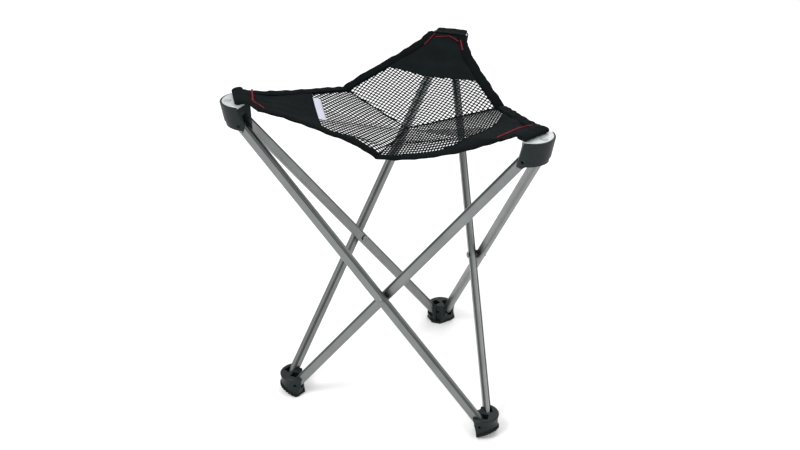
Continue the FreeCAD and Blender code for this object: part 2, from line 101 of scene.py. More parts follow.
# Net, mm. The two steps of each third's diamond mesh, in its corner's (outward,
# anticlockwise) plan; the corners are left, right and back throughout. The holes' radius is
# in steps, mixed half and half with the cell's own shape at a share of its size. The panel's
# inner edge has a reach at its peak, a tilt, and a bow on each side; the net runs under it by
# its lap, and stops short of the outline by its gap. Cells are laid out past the seams and the
# centre by the margins, and are then drawn in to them.
MESH_STEPS = (
    ((-2.96, 3.84), (-3.44, -4.62)),
    ((3.39, 1.72), (3.69, -5.59)),
    ((1.71, 4.46), (3.88, -1.23)),
)
HOLE_RADIUS = (0.42, 0.33, 0.47)
HOLE_CELL_SHARE = 0.63
THREAD_THICKNESS = 0.6
NET_REACH = (113.3, 132.5, 101.0)
NET_TILT = (0.04, 0.0, 0.06)
NET_PEAK = (0.0, -22.0, 0.0)
NET_BOW = ((0.0, 0.0), (0.012, 0.0042), (0.0, 0.0))
NET_LAP = 4.0
NET_EDGE_GAP = 6.0
NET_SEAM_MARGIN = 3.2
NET_CENTRE_MARGIN = 3.0
NET_CENTRE_SIZE = 1e-6
NET_CELLS_EACH_WAY = 60
NET_WELD_DISTANCE = 0.02
SEAM_RADIUS = 0.9
SEAM_LIFT = 0.5
SEAM_LAP = 2.0
SEAM_POINTS = 60

# Corner panels and their hems, mm. The panel's half width at its inner edge is found in
# rounds, from a first guess. A cover is what a binding hides, less towards the head. The
# folds gather towards the head, and folds and dents fade out at the panel's edges.
PANEL_LIFT = 0.7
PANEL_THICKNESS = 0.6
PANEL_GRID = (44, 61)
PANEL_EDGE_COVER = 5.0
PANEL_COVER_TAPER = 0.4
PANEL_START_HALF = 68.0
PANEL_START_ROUNDS = 24
PANEL_FOLD_GATHER = 0.9
PANEL_DENT_NARROWING = 1.7
PANEL_CALM_END = 1 / 6
PANEL_CALM_POWER = 6
HEM_RADIUS = 0.85
HEM_INSET = 0.8
HEM_LIFT = 0.2
HEM_POINTS = 70

# Bindings, mm. The section is (depth from the edge as a share of the width, lift), from the
# upper inner edge round the outline to the lower one. The turns, where the tape swings round
# to lie along the head's end and the seam, and the calm ends are shares of the length.
BINDING_WIDTH = 12.5
BINDING_THICKNESS = 0.6
BINDING_ROWS = 110
BINDING_END_TURN = 0.08
BINDING_MIDDLE_TURN = 0.14
BINDING_CALM_END = 1 / 14
BINDING_INNER_CALM = 0.8
BINDING_SECTION = (
    (1.0, 1.3), (0.72, 1.5), (0.42, 1.5), (0.18, 1.3), (0.05, 0.8), (0.0, 0.0),
    (0.05, -0.8), (0.18, -1.2), (0.42, -1.3), (0.72, -1.2), (1.0, -1.0),
)

# Loops over the bars, and the strips, or tails, that join them to the panels, mm. A loop is
# a rounded box in section, narrower at its ends. Its top rises to a peak at its clockwise end,
# and wrinkles, both more on the inner half than on the outer. A tail's two edges drop.
HEAD_REACH = 204.28
HEAD_HINGE_HEIGHT = 394.0
LOOP_CENTRE = (HEAD_REACH + 1.5, HEAD_HINGE_HEIGHT + 29.6)
LOOP_HALF_DEPTH = 7.1
LOOP_HALF_HEIGHT = (3.0, 3.0, 2.4)
LOOP_PEAK = (2.6, 0.3, 0.0)
LOOP_PEAK_SHARE = 0.4
LOOP_ENDS = (-21.0, 20.0)
LOOP_END_SHARE = 0.1
LOOP_END_NARROWING = 0.22
LOOP_DEPTH_POWER = 0.8
LOOP_HEIGHT_POWER = 0.6
LOOP_WRINKLE_TURNS = 6
LOOP_WRINKLE_DEPTH = 0.5
LOOP_TOP_WEIGHTS = (0.75, 0.5)
LOOP_GRID = (34, 28)
TAIL_START = END_REACH - 2.0
TAIL_END = LOOP_CENTRE[0] - LOOP_HALF_DEPTH + 2.5
TAIL_THICKNESS = 1.4
TAIL_GRID = (16, 45)
TAIL_START_LIFT = 1.6
TAIL_END_DROP = 1.0
TAIL_END_INSET = 0.5
TAIL_EDGE_DROP = 2.0
TAIL_EDGE_POWER = 8

# Ripples in the cloth: a seed, and the wave lengths and sizes, mm. A wave's crests lean by up
# to the share below.
RIPPLE_LEAN = 0.35
SEAM_DRIFT = (40, (23.0, 9.0), (0.25, 0.12))
PANEL_FOLDS = (60, (15.0, 26.0), (0.14, 0.4))
PANEL_DENTS = (70, (37.0, 52.0), (0.5, 0.7))
HEM_DRIFT = (80, (19.0, 7.0), (0.3, 0.15))
BINDING_PUCKER = (100, (19.0, 9.5, 37.0), (0.26, 0.08, 0.4))
BINDING_RIPPLE = (103, (23.0, 12.0), (0.34, 0.1))
LOOP_WRINKLES = (200, (9.0, 14.0), (0.2, 0.25))
TAIL_FOLDS = (220, (7.5, 12.0), (0.3, 0.4))

# Red stitching, mm: lines on each corner's panel, and those on the strip at its head.
PANEL_STITCHES = (
    (((186, 14), (179, 25)),),
    (((186, 26), (178, 22), (175, 13)), ((174, 13), (179, -30))),
    (
        ((159, 25), (184, 17)),
        ((177, 14), (181, -3), (177, -12), (172, -19)),
        ((175, -21), (154, -30)),
    ),
)
TAIL_STITCHES = (
    (((187.5, -29), (190.5, 10)), ((192, 9), (186.5, 17))),
    (),
    (),
)
STITCH_PITCH = 1.5
STITCH_HALF_WIDTH = 0.75
STITCH_RADIUS = 0.42
STITCH_SIDES = 5
STITCH_POINTS_PER_END = 12
PANEL_STITCH_LIFT = 1.9
TAIL_STITCH_LIFT = 0.9

# A plain label on the left corner's net, mm. It bulges across its width, and ripples along its
# length.
LABEL_CORNER = 0
LABEL_PLACE = (108.6, -7.0)
LABEL_SIZE = (9.5, 66.0)
LABEL_THICKNESS = 0.4
LABEL_LIFT = 1.6
LABEL_BULGE = 0.35
LABEL_RIPPLE = 0.25
LABEL_RIPPLE_TURN = 9
LABEL_GRID = (34, 7)


# ---- Materials ----

CLOUD_SCALE = 38.0
CLOUD_DETAIL = 4.0
CLOUD_RANGE = (0.3, 0.7)
GRAIN_DETAIL = 2.0
WEAVE_DISTORTION = 0.4


def material(name, colour, roughness, metallic=0.0, bump=None, tint=0.0, shine=0.5):
    """A procedural material. tint is how far its colour varies, as a share, and bump is
    (kind, scale per metre, strength, distance in metres)."""
    made = bpy.data.materials.new(name)
    made.use_nodes = True
    nodes, links = made.node_tree.nodes, made.node_tree.links
    shader = nodes["Principled BSDF"]
    shader.inputs["Base Color"].default_value = (*colour, 1.0)
    shader.inputs["Roughness"].default_value = roughness
    shader.inputs["Metallic"].default_value = metallic
    shader.inputs["Specular IOR Level"].default_value = shine
    place = nodes.new("ShaderNodeTexCoord")
    if tint:
        cloud = nodes.new("ShaderNodeTexNoise")
        cloud.inputs["Scale"].default_value = CLOUD_SCALE
        cloud.inputs["Detail"].default_value = CLOUD_DETAIL
        ramp = nodes.new("ShaderNodeValToRGB")
        for stop, position, side in zip(ramp.color_ramp.elements, CLOUD_RANGE, (-1, 1)):
            stop.position = position
            stop.color = (*[part * (1 + side * tint) for part in colour], 1.0)
        links.new(place.outputs["Object"], cloud.inputs["Vector"])
        links.new(cloud.outputs["Fac"], ramp.inputs["Fac"])
        links.new(ramp.outputs["Color"], shader.inputs["Base Color"])
    if bump:
        kind, scale, strength, distance = bump
        height = height_texture(nodes, links, place, kind, scale)
        relief = nodes.new("ShaderNodeBump")
        relief.inputs["Strength"].default_value = strength
        relief.inputs["Distance"].default_value = distance
        links.new(height, relief.inputs["Height"])
        links.new(relief.outputs["Normal"], shader.inputs["Normal"])
    return made


def height_texture(nodes, links, place, kind, scale):
    """The height output of a fine grain, or of a weave of two crossed waves."""
    if kind == "grain":
        grain = nodes.new("ShaderNodeTexNoise")
        grain.inputs["Scale"].default_value = scale
        grain.inputs["Detail"].default_value = GRAIN_DETAIL
        links.new(place.outputs["Object"], grain.inputs["Vector"])
        return grain.outputs["Fac"]
    waves = []
    for direction in ("X", "Y"):
        wave = nodes.new("ShaderNodeTexWave")
        wave.bands_direction = direction
        wave.inputs["Scale"].default_value = scale
        wave.inputs["Distortion"].default_value = WEAVE_DISTORTION
        links.new(place.outputs["Object"], wave.inputs["Vector"])
        waves.append(wave)
    crossed = nodes.new("ShaderNodeMath")
    crossed.operation = "MAXIMUM"
    for slot, wave in enumerate(waves):
        links.new(wave.outputs["Fac"], crossed.inputs[slot])
    return crossed.outputs["Value"]


aluminium = material(
    "satin_aluminium", (0.196, 0.206, 0.204), 0.34, metallic=1.0,
    bump=("grain", 900.0, 0.06, 0.0002), tint=0.08,
)
# A darker copy of the leg metal: a painted dark reflection on the legs' rounded corners that face
# up.
painted_reflection_aluminium = material(
    "tube_corner_painted_reflection", (0.080, 0.087, 0.086), 0.4, metallic=1.0,
    bump=("grain", 900.0, 0.06, 0.0002), tint=0.08,
)
moulding = material(
    "moulded_plastic", (0.0055, 0.0102, 0.0105), 0.45,
    bump=("grain", 2600.0, 0.12, 0.0002), tint=0.12, shine=0.2,
)
cap_metal = material(
    "pale_cap", (0.50, 0.535, 0.54), 0.45, metallic=0.35,
    bump=("grain", 1500.0, 0.05, 0.0002), tint=0.03,
)
rivet_metal = material("rivet_metal", (0.36, 0.385, 0.39), 0.4, metallic=0.4, tint=0.03)
black_steel = material("black_steel", (0.0025, 0.0028, 0.003), 0.6, tint=0.1, shine=0.1)
nylon = material("black_nylon", (0.008, 0.008, 0.009), 0.5, tint=0.1, shine=0.25)
rubber = material(
    "sole_rubber", (0.006, 0.007, 0.007), 0.78,
    bump=("grain", 1800.0, 0.25, 0.0003), tint=0.2, shine=0.2,
)
canvas = material(
    "black_canvas", (0.0050, 0.0072, 0.0080), 0.9,
    bump=("weave", 520.0, 0.15, 0.0002), tint=0.15, shine=0.04,
)
tape = material(
    "binding_tape", (0.0030, 0.0046, 0.0052), 0.9,
    bump=("weave", 760.0, 0.2, 0.0002), tint=0.15, shine=0.04,
)
netting = material("net_thread", (0.0040, 0.0055, 0.0062), 0.85, tint=0.15, shine=0.05)
red_thread = material("red_thread", (0.26, 0.011, 0.024), 0.62, tint=0.15, shine=0.2)
label_cloth = material(
    "pale_label", (0.50, 0.51, 0.60), 0.75,
    bump=("weave", 900.0, 0.2, 0.0002), tint=0.04, shine=0.2,
)
floor_paint = material("pale_floor", (0.94, 0.94, 0.94), 0.9, tint=0.01)

CAD_MATERIALS = (
    ("leg_", aluminium),
    ("head_cap_", cap_metal),
    ("head_pins_", black_steel),
    ("head_", moulding),
    ("foot_pins_", black_steel),
    ("foot_", moulding),
    ("sole_", rubber),
    ("cap_screw_", rivet_metal),
    ("crossing_rivet_", aluminium),
    ("crossing_spacer_", nylon),
    ("seat_bar_", black_steel),
    ("seat_net_", netting),
    ("seat_corner_", canvas),
    ("seat_binding_", tape),
    ("seat_loop_", canvas),
)
SMOOTH_ANGLE = math.radians(32.0)
CORNER_LEAN = 0.28


def paint_reflection_on_upper_corners(leg):
    """Paints a dark reflection on the tube's rounded corners that face up, as a darker copy of
    the metal than its flats. A face is on a corner when its normal leans away from both of the
    tube's cross axes."""
    mesh = leg.data
    places = np.array([vertex.co for vertex in mesh.vertices])
    _, wide, thin = np.linalg.svd(places - places.mean(axis=0), full_matrices=False)[2]
    mesh.materials.append(painted_reflection_aluminium)
    for face in mesh.polygons:
        lean = min(abs(wide @ face.normal), abs(thin @ face.normal))
        # Corner faces that face up take the darker copy, which is painted reflection.
        face.material_index = int(lean > CORNER_LEAN and face.normal.z > 0)


for name, node in frame["nodes"].items():
    finish = next(made for prefix, made in CAD_MATERIALS if name.startswith(prefix))
    node.data.materials.clear()
    node.data.materials.append(finish)
    node.data.shade_smooth()
    node.data.set_sharp_from_angle(angle=SMOOTH_ANGLE)
    # The leg tubes get a painted dark reflection on their upper corners.
    if name.startswith("leg_"):
        paint_reflection_on_upper_corners(node)


# ---- The seat's surface ----

def corner_angle(corner):
    """The direction from the stool's axis to a corner, in plan."""
    return math.radians(FIRST_CORNER_DEGREES + CORNER_STEP_DEGREES * corner)


def placed(corner, along, across, height):
    """Points of a corner's plan frame, mm above the feet's hinges, as metres in the row frame."""
    angle = corner_angle(corner)
    along, across, height = np.broadcast_arrays(along, across, height)
    x = AXIS_XY[0] + along * math.cos(angle) - across * math.sin(angle)
    y = AXIS_XY[1] + along * math.sin(angle) + across * math.cos(angle)
    return np.stack([x, y, height + FOOT_HINGE_HEIGHT], axis=-1) * MM


def side_of(corner, turn):
    """The side that a corner has anticlockwise, turn 1, or clockwise, turn -1."""
    return corner if turn > 0 else (corner - 1) % 3


def edge(corner, turn, share):
    """The outline from the corner's end, share 0, to the middle of the side, share 1."""
    side = side_of(corner, turn)
    share = np.asarray(share, float)
    middle_along = SIDE_APOTHEM[side] / 2
    middle_across = SIDE_APOTHEM[side] * math.sqrt(3) / 2
    hand = (turn + 1) // 2
    start = END_HALF_WIDTH[corner][hand]
    along = END_REACH + (middle_along - END_REACH) * share
    across = start + (middle_across - start) * share ** END_FLARE[corner]
    fall = 1 - (1 - share) ** END_FALL[corner][hand]
    end_height = END_HEIGHT[corner][hand]
    height = end_height + (SIDE_HEIGHT[side] - end_height) * fall
    return along, turn * across, height


def outline(corner):
    """The corner's share of the outline by polar angle: the angles, reaches and heights."""
    shares = np.linspace(0.0, 1.0, OUTLINE_POINTS)
    low = [values[::-1] for values in edge(corner, -1, shares)]
    high = edge(corner, 1, shares)
    clockwise, anticlockwise = END_HALF_WIDTH[corner]
    end_across = np.linspace(-clockwise, anticlockwise, END_POINTS + 2)[1:-1]
    end_height = np.linspace(*END_HEIGHT[corner], END_POINTS + 2)[1:-1]
    end = (np.full(END_POINTS, END_REACH), end_across, end_height)
    along, across, height = (np.concatenate(parts) for parts in zip(low, end, high))
    return np.arctan2(across, along), np.hypot(along, across), height


OUTLINES = [outline(corner) for corner in range(3)]


def crease(corner, along, across):
    """The height that the corner's crease adds at points of its third."""
    start, end = np.array(CREASE_ENDS[corner])
    ahead = (end - start) / np.linalg.norm(end - start)
    run = (along - start[0]) * ahead[0] + (across - start[1]) * ahead[1]
    aside = (across - start[1]) * ahead[0] - (along - start[0]) * ahead[1]
    aside = -aside * math.copysign(1.0, start[1])
    share = np.clip(run / np.linalg.norm(end - start), 0.0, 1.0)
    inner, outer = CREASE_HALF_WIDTHS
    spread = np.where(aside < 0, inner, outer)
    fade = np.sin(math.pi * share) ** CREASE_FADE_POWER
    return CREASE_HEIGHT[corner] * fade * np.exp(-((aside / spread) ** 2) / 2)


def surface(corner, along, across):
    """The seat's height at points of a corner's third."""
    angles, reaches, heights = OUTLINES[corner]
    angle = np.arctan2(across, along)
    share = np.hypot(along, across) / np.interp(angle, angles, reaches)
    softened = np.sqrt(share**2 + CENTRE_ROUNDING**2) - CENTRE_ROUNDING
    softened = softened / (math.sqrt(1 + CENTRE_ROUNDING**2) - CENTRE_ROUNDING)
    edge_height = np.interp(angle, angles, heights)
    height = CENTRE_HEIGHT + (edge_height - CENTRE_HEIGHT) * softened
    return height + crease(corner, along, across) if corner in CREASE_ENDS else height


def waviness(kind, number):
    """A smooth, seeded ripple of one or two places; number tells pieces of a kind apart."""
    seed, lengths, sizes = kind
    dice = random.Random(seed + number)
    terms = []
    for length, size in zip(lengths, sizes):
        phase = dice.uniform(0, 2 * math.pi)
        lean = dice.uniform(-RIPPLE_LEAN, RIPPLE_LEAN)
        terms.append((2 * math.pi / length, phase, size, lean))

    def ripple(first, second=0.0):
        return sum(
            size * np.sin(rate * (first + lean * second) + phase)
            for rate, phase, size, lean in terms
        )

    return ripple


# ---- Mesh helpers ----

def unit(vectors):
    """The same directions, one a row, with length 1."""
    return vectors / np.linalg.norm(vectors, axis=1)[:, None]


def run_along(path):
    """How far along a path each of its points is."""
    steps = np.linalg.norm(np.diff(path, axis=0), axis=1)
    return np.concatenate([[0], np.cumsum(steps)])


def eased(share):
    """A share from 0 to 1 that starts and ends gently."""
    return share**2 * (3 - 2 * share)


def cloth_grid(counts, first=(0.0, 1.0), second=(-1.0, 1.0)):
    """Two grids of numbers, one that changes from row to row and one along each row."""
    rows, columns = counts
    return np.meshgrid(np.linspace(*first, rows), np.linspace(*second, columns), indexing="ij")


def mesh_piece(name, points, faces, finish, thickness=0.0):
    """A smooth mesh object in the row frame, thickened if asked."""
    mesh = bpy.data.meshes.new(name)
    mesh.from_pydata([tuple(point) for point in points], [], [tuple(face) for face in faces])
    mesh.validate()
    mesh.shade_smooth()
    mesh.materials.append(finish)
    piece = bpy.data.objects.new(name, mesh)
    bpy.context.scene.collection.objects.link(piece)
    if thickness:
        solid = piece.modifiers.new("thickness", "SOLIDIFY")
        solid.thickness = thickness * MM
        solid.offset = 0.0
    return piece


def grid_faces(rows, columns, closed=False):
    """Quads of a grid numbered row by row; closed joins the last column to the first."""
    faces = []
    for row in range(rows - 1):
        for column in range(columns if closed else columns - 1):
            after = (column + 1) % columns
            faces.append((
                row * columns + column,
                row * columns + after,
                (row + 1) * columns + after,
                (row + 1) * columns + column,
            ))
    return faces


def tube(path, radius, sides=8):
    """The points and faces of a closed-ended tube along a path in the row frame."""
    path = np.asarray(path, float)
    ahead = unit(np.gradient(path, axis=0))
    across = unit(np.cross(ahead, (0.0, 0.0, 1.0)))
    above = np.cross(across, ahead)
    turns = np.linspace(0, 2 * math.pi, sides, endpoint=False)
    rings = (
        path[:, None, :]
        + radius * MM * np.cos(turns)[None, :, None] * across[:, None, :]
        + radius * MM * np.sin(turns)[None, :, None] * above[:, None, :]
    )
    count = len(path)
    faces = grid_faces(count, sides, closed=True)
    faces.append(tuple(range(sides))[::-1])
    faces.append(tuple((count - 1) * sides + side for side in range(sides)))
    return rings.reshape(-1, 3), faces


def joined(parts):
    """Several (points, faces) as one."""
    points, faces, start = [], [], 0
    for part_points, part_faces in parts:
        points.append(part_points)
        faces += [tuple(start + index for index in face) for face in part_faces]
        start += len(part_points)
    return np.concatenate(points), faces


def cloth_area(points, faces):
    """The area of a sheet of quads, in square metres."""
    corners = np.asarray(points)[np.array(faces)]
    one, other = corners[:, 2] - corners[:, 0], corners[:, 3] - corners[:, 1]
    return float(np.linalg.norm(np.cross(one, other), axis=1).sum() / 2)


def crumples(piece):
    """Gives the piece its own copy of its mesh."""
    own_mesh(piece)


def on_seat(piece, corner):
    """A piece that swings down with its third of the seat."""
    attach(piece, f"seat_{CORNERS[corner]}")
    crumples(piece)
    return piece


def on_head(piece, corner):
    """A piece of webbing that stays with the corner's head."""
    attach(piece, f"head_{CORNERS[corner]}")
    return piece


# ---- Net ----

def mesh_cell(corner):
    """The mesh's two steps, and the twelve points round one cell and round its hole."""
    first, second = (np.array(step) for step in MESH_STEPS[corner])
    third = first - math.copysign(1.0, first @ second) * second
    around = [first, second, third]
    around = sorted(around + [-step for step in around], key=lambda v: math.atan2(v[1], v[0]))
    corners = []  # each as far from the cell's middle as from those of two cells next to it
    for one, other in zip(around, around[1:] + around[:1]):
        corners.append(np.linalg.solve([one, other], [one @ one / 2, other @ other / 2]))
    ring = []
    for one, other in zip(corners, corners[1:] + corners[:1]):
        ring += [one, (one + other) / 2]
    ring = np.array(ring)
    steps = np.array([first, second])
    in_steps = unit(ring @ np.linalg.inv(steps))
    round_hole = HOLE_RADIUS[corner] * in_steps @ steps
    return first, second, ring, (round_hole + HOLE_CELL_SHARE * ring) / 2


def kept_in_third(points):
    """Moves points that lie beyond the third's two seams onto them, or onto the centre."""
    points = points.copy()
    for turn in (1, -1):
        beyond = -SIN_60 * points[..., 0] + turn * points[..., 1] / 2
        normal = np.array([-SIN_60, turn / 2])
        points -= np.maximum(beyond, 0.0)[..., None] * normal
    points[points[..., 0] < NET_CENTRE_SIZE] = 0.0
    return points


def panel_start(corner, across):
    """How far out the corner panel's inner edge is: tilted, and bowed either side of a peak."""
    from_peak = across - NET_PEAK[corner]
    bow = np.where(from_peak < 0, *NET_BOW[corner])
    return NET_REACH[corner] + NET_TILT[corner] * across - bow * from_peak**2


def outline_reach(corner, points):
    """How far out the outline is in the direction of each point."""
    angles, reaches, _ = OUTLINES[corner]
    return np.interp(np.arctan2(points[..., 1], points[..., 0]), angles, reaches)


def make_net(corner):
    """The third's netting, and its area with the holes counted in."""
    first, second, ring, hole = mesh_cell(corner)
    count = len(ring)
    span = np.arange(-NET_CELLS_EACH_WAY, NET_CELLS_EACH_WAY + 1)
    cells = (span[:, None, None] * first + span[None, :, None] * second).reshape(-1, 2)
    seam_gap = np.abs(cells[:, 1]) / 2 - SIN_60 * cells[:, 0]
    reach = np.hypot(cells[:, 0], cells[:, 1])
    wanted = (
        (seam_gap < NET_SEAM_MARGIN)
        & (cells[:, 0] < panel_start(corner, cells[:, 1]) + NET_LAP)
        & (cells[:, 0] > -NET_CENTRE_MARGIN)
        & (reach < outline_reach(corner, kept_in_third(cells)) - NET_EDGE_GAP)
    )
    cells = cells[wanted]
    points = np.concatenate([cells[:, None] + ring, cells[:, None] + hole], axis=1)
    points = kept_in_third(points).reshape(-1, 2)
    keys = np.round(points / NET_WELD_DISTANCE).astype(int)
    _, kept, same = np.unique(keys, axis=0, return_index=True, return_inverse=True)
    faces = []
    for cell in same.reshape(len(cells), 2 * count):
        outside, inside = cell[:count], cell[count:]
        for place in range(count):
            after = (place + 1) % count
            round_face = (outside[place], outside[after], inside[after], inside[place])
            face = tuple(dict.fromkeys(round_face))
            if len(face) > 2:
                faces.append(face)
    flat = points[kept]
    height = surface(corner, flat[:, 0], flat[:, 1])
    solid = placed(corner, flat[:, 0], flat[:, 1], height)
    piece = mesh_piece(f"net_{CORNERS[corner]}", solid, faces, netting, THREAD_THICKNESS)
    cell_area = abs(first[0] * second[1] - first[1] * second[0])
    return on_seat(piece, corner), len(cells) * cell_area * MM**2


def make_seam(corner):
    """The rolled seam from the seat's centre to the middle of the corner's side."""
    end = SIDE_APOTHEM[corner] - BINDING_WIDTH + SEAM_LAP
    reach = np.linspace(0.0, end, SEAM_POINTS)
    drift = waviness(SEAM_DRIFT, corner)(reach)
    along = reach / 2 - drift * SIN_60
    across = reach * SIN_60
    height = surface(corner, along, across) + SEAM_LIFT
    points, faces = tube(placed(corner, along, across, height), SEAM_RADIUS)
    piece = mesh_piece(f"net_seam_{corner + 1}", points, faces, netting)
    return on_seat(piece, corner)


# ---- Corner panels ----

def edge_share(corner, turn, along):
    """The share of the way to the middle of the side at which the outline is that far out."""
    middle = SIDE_APOTHEM[side_of(corner, turn)] / 2
    return np.clip((END_REACH - along) / (END_REACH - middle), 0.0, 1.0)


def panel_half(corner, sideways, along):
    """The outline's half width, on the side that the sign of sideways tells."""
    clockwise = -edge(corner, -1, edge_share(corner, -1, along))[1]
    anticlockwise = edge(corner, 1, edge_share(corner, 1, along))[1]
    return np.where(sideways < 0, clockwise, anticlockwise)


def panel_point(corner, sideways, outward):
    """A point of the panel: sideways -1 to 1 across it, outward 0 at the net to 1 at the head."""
    start_across = sideways * PANEL_START_HALF
    for _ in range(PANEL_START_ROUNDS):
        start = panel_start(corner, start_across)
        start_across = sideways * (panel_half(corner, sideways, start) - PANEL_EDGE_COVER)
    along = start + (END_REACH - start) * outward
    cover = PANEL_EDGE_COVER * (1 - PANEL_COVER_TAPER * outward)
    return along, sideways * (panel_half(corner, sideways, along) - cover)


def make_panel(corner):
    """The corner's solid cloth, and its area."""
    outward, sideways = cloth_grid(PANEL_GRID)
    along, across = panel_point(corner, sideways, outward)
    gathered = across * (1 + PANEL_FOLD_GATHER * outward)
    folds = waviness(PANEL_FOLDS, corner)(gathered, along)
    dents = waviness(PANEL_DENTS, corner)(along, across * PANEL_DENT_NARROWING)
    end_fade = np.clip(np.minimum(outward, 1 - outward) / PANEL_CALM_END, 0, 1)
    side_fade = 1 - np.abs(sideways) ** PANEL_CALM_POWER
    bumps = end_fade * side_fade * (folds * outward + dents)
    height = surface(corner, along, across) + PANEL_LIFT + bumps
    points = placed(corner, along, across, height).reshape(-1, 3)
    faces = grid_faces(*PANEL_GRID)
    name = f"corner_panel_{CORNERS[corner]}"
    piece = mesh_piece(name, points, faces, canvas, PANEL_THICKNESS)
    return on_seat(piece, corner), cloth_area(points, faces)


def make_hem(corner):
    """The turned edge of the panel along the net."""
    sideways = np.linspace(-1, 1, HEM_POINTS)
    along, across = panel_point(corner, sideways, np.zeros(HEM_POINTS))
    along = along + waviness(HEM_DRIFT, corner)(across) + HEM_INSET
    height = surface(corner, along, across) + PANEL_LIFT + HEM_LIFT
    points, faces = tube(placed(corner, along, across, height), HEM_RADIUS)
    piece = mesh_piece(f"panel_hem_{CORNERS[corner]}", points, faces, canvas)
    return on_seat(piece, corner)


# ---- Bindings ----

def make_binding(corner, turn):
    """Tape folded over the outline, from the corner's end to the middle of one side."""
    share = np.linspace(0.0, 1.0, BINDING_ROWS)
    along, across, _ = edge(corner, turn, share)
    path = np.stack([along, across], axis=1)
    ahead = unit(np.gradient(path, axis=0))
    square = np.stack([-ahead[:, 1], ahead[:, 0]], axis=1) * turn
    at_end = np.clip(1 - share / BINDING_END_TURN, 0, 1)[:, None]
    near_middle = (share - (1 - BINDING_MIDDLE_TURN)) / BINDING_MIDDLE_TURN
    at_middle = np.clip(near_middle, 0, 1)[:, None] ** 2
    along_end = np.array([0.0, -turn])
    along_seam = -np.array([0.5, turn * SIN_60])
    inward = square * (1 - at_end - at_middle)
    inward = unit(inward + at_end * along_end + at_middle * along_seam)

    run = run_along(path)
    number = 10 * corner + turn
    pucker = waviness(BINDING_PUCKER, number)(run)
    ripple = waviness(BINDING_RIPPLE, number)(run)
    calm = np.clip(np.minimum(share, 1 - share) / BINDING_CALM_END, 0, 1)
    points = []
    for depth, lift in BINDING_SECTION:
        inset = BINDING_WIDTH * depth + (1 - depth) * pucker * calm
        spot = path + inward * inset[:, None]
        spot[:, 0] = np.minimum(spot[:, 0], END_REACH)
        base = surface(corner, spot[:, 0], spot[:, 1])
        wave = ripple * calm * (1 - BINDING_INNER_CALM * depth)
        points.append(placed(corner, spot[:, 0], spot[:, 1], base + lift + wave))
    points = np.stack(points, axis=1)
    side = side_of(corner, turn) + 1
    piece = mesh_piece(
        f"binding_{CORNERS[corner]}_side_{side}",
        points.reshape(-1, 3),
        grid_faces(BINDING_ROWS, len(BINDING_SECTION)),
        tape,
        BINDING_THICKNESS,
    )
    on_seat(piece, corner)
    return piece


# ---- Loops over the bars ----

def squared(wave, power):
    """A sine or cosine made flatter at its tops by a power below 1."""
    return np.sign(wave) * np.abs(wave) ** power


def make_loop(corner):
    """The sewn sleeve that holds the bar, closed and slightly narrower at its ends."""
    columns, around = LOOP_GRID
    turns = np.linspace(0, 2 * math.pi, around, endpoint=False)
    spread = np.linspace(0, 1, columns)
    across = LOOP_ENDS[0] + (LOOP_ENDS[1] - LOOP_ENDS[0]) * spread
    past_middle = np.abs(2 * spread - 1) - (1 - LOOP_END_SHARE)
    size = 1 - LOOP_END_NARROWING * np.clip(past_middle / LOOP_END_SHARE, 0, 1) ** 2
    peak = LOOP_PEAK[corner] * np.clip(1 - spread / LOOP_PEAK_SHARE, 0, 1) ** 2
    wrinkle = waviness(LOOP_WRINKLES, corner)
    depth = LOOP_HALF_DEPTH * squared(np.cos(turns), LOOP_DEPTH_POWER)
    lift = LOOP_HALF_HEIGHT[corner] * squared(np.sin(turns), LOOP_HEIGHT_POWER)
    both_halves, inner_half = LOOP_TOP_WEIGHTS
    top = np.maximum(np.sin(turns), 0) * (both_halves - inner_half * np.cos(turns))
    rings = []
    for place in range(columns):
        wave = wrinkle(across[place], LOOP_WRINKLE_TURNS * turns)
        along = LOOP_CENTRE[0] + (depth + LOOP_WRINKLE_DEPTH * wave) * size[place]
        rise = lift + top * (peak[place] + wave)
        height = LOOP_CENTRE[1] + rise * size[place]
        rings.append(placed(corner, along, across[place], height))
    points = np.concatenate(rings)
    faces = grid_faces(columns, around, closed=True)
    faces.append(tuple(range(around))[::-1])
    faces.append(tuple((columns - 1) * around + place for place in range(around)))
    return on_head(mesh_piece(f"bar_loop_{CORNERS[corner]}", points, faces, canvas), corner)


def tail_height(corner, outward):
    """The strip's height, outward 0 at the panel's end to 1 at the loop."""
    low = sum(END_HEIGHT[corner]) / 2 + TAIL_START_LIFT
    high = LOOP_CENTRE[1] + LOOP_HALF_HEIGHT[corner] - TAIL_END_DROP
    return low + (high - low) * eased(outward)


def tail_point(corner, sideways, outward):
    """A point of the strip from the panel's end, outward 0, to the loop, outward 1."""
    along = TAIL_START + (TAIL_END - TAIL_START) * outward
    start_half = np.where(sideways < 0, *END_HALF_WIDTH[corner])
    loop_half = (LOOP_ENDS[1] - LOOP_ENDS[0]) / 2 - TAIL_END_INSET
    half = start_half + (loop_half - start_half) * eased(outward)
    return along, half * sideways, tail_height(corner, outward)


def make_tail(corner):
    """The short strip of cloth between the corner's panel and its loop."""
    outward, sideways = cloth_grid(TAIL_GRID)
    along, across, height = tail_point(corner, sideways, outward)
    folds = waviness(TAIL_FOLDS, corner)(across, along)
    edge_drop = TAIL_EDGE_DROP * np.abs(sideways) ** TAIL_EDGE_POWER
    height = height + folds * np.sin(math.pi * outward) - edge_drop
    points = placed(corner, along, across, height).reshape(-1, 3)
    name = f"loop_tail_{CORNERS[corner]}"
    piece = on_head(
        mesh_piece(name, points, grid_faces(*TAIL_GRID), canvas, TAIL_THICKNESS), corner
    )
    crumples(piece)
    return piece


# ---- Red stitching and the label ----

